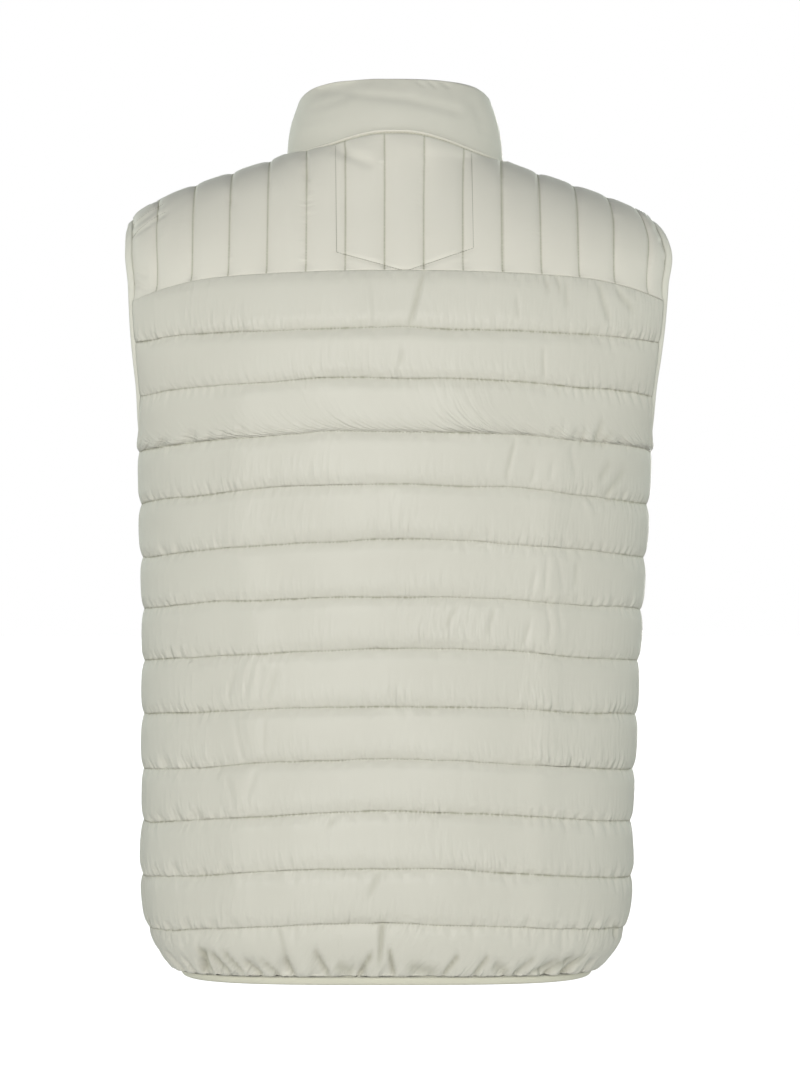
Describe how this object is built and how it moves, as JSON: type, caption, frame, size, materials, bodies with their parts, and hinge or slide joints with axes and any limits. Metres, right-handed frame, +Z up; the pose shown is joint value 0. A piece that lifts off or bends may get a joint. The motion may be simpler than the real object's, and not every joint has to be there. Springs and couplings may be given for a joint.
{
  "type": "quilted vest",
  "caption": "Padded sleeveless vest with level quilted channels, an upright quilted yoke, a stand collar, elastic edges and a full front zip, filled out as worn.",
  "frame": {"origin": "midway between the two shoulder points at the base of the neck, where the wearer's shoulders carry the vest", "axes": "+Z up the wearer, -Y out of the front zip, +Y out of the back, +X to the wearer's left"},
  "size_m": [0.4601, 0.2717, 0.7525],
  "materials": {
    "shell": "satin woven nylon, padded",
    "binding": "matt elastic tape",
    "zip_tape": "matt woven tape",
    "zip_teeth": "satin moulded plastic",
    "zip_slider": "satin enamel"
  },
  "bodies": {
    "vest": {"back_panel": "shell", "back_yoke": "shell", "front_panel_left": "shell", "front_panel_right": "shell", "front_yoke_left": "shell", "front_yoke_right": "shell", "collar": "shell", "armhole_binding_left": "binding", "armhole_binding_right": "binding", "hem_binding": "binding", "zip_tape_left": "zip_tape", "zip_tape_right": "zip_tape", "zip_chain": "zip_teeth", "zip_box": "zip_teeth", "zip_slider": "zip_slider"},
    "pull_tab": {"zip_pull": "zip_slider"}
  },
  "joints": [
    {"name": "pull_swing", "type": "hinge", "parent": "vest", "child": "pull_tab", "pos_m": [0.0015, -0.08353, -0.01033], "axis": [-1, 0, 0], "range_deg": [0, 150]}
  ]
}
